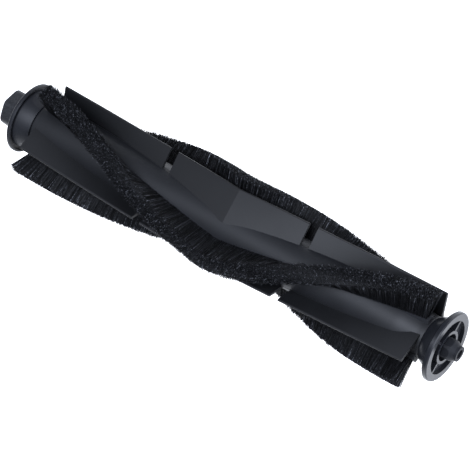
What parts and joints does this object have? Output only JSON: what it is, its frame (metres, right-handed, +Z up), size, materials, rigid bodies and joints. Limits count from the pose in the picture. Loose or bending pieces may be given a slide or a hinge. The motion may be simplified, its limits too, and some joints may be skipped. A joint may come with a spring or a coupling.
{
  "type": "robot vacuum brush",
  "caption": "Robot vacuum roller brush with V-shaped bristle rows, leaning rubber blades, a hexagonal drive boss and a bearing sleeve that turns at the other end.",
  "frame": {"origin": "centre of the drive flange's outer face, where the drive boss starts, on the roller's axis", "axes": "+X along the roller's axis to the bearing end, +Z up as the brush lies at rest"},
  "size_m": [0.1943, 0.0396, 0.039],
  "materials": {
    "core_plastic": "satin moulded",
    "cap_plastic": "semi-gloss moulded",
    "sleeve_plastic": "smooth moulded",
    "axle_steel": "turned",
    "spine_plastic": "moulded",
    "bristle_nylon": "fine bristles",
    "blade_rubber": "satin rubber"
  },
  "bodies": {
    "roller": {"roller_core": "core_plastic", "drive_end_cap": "cap_plastic", "bearing_end_cap": "cap_plastic", "axle_screw": "axle_steel", "bristle_spine_1": "spine_plastic", "bristle_spine_2": "spine_plastic", "bristle_spine_3": "spine_plastic", "bristle_pile_1": "bristle_nylon", "bristle_pile_2": "bristle_nylon", "bristle_pile_3": "bristle_nylon", "rubber_blade_1": "blade_rubber", "rubber_blade_2": "blade_rubber", "rubber_blade_3": "blade_rubber"},
    "bearing": {"bearing_sleeve": "sleeve_plastic"}
  },
  "joints": [
    {"name": "bearing_spin", "type": "hinge", "parent": "roller", "child": "bearing", "pos_m": [0.181, 0, 0], "axis": [1, 0, 0], "continuous": true}
  ]
}
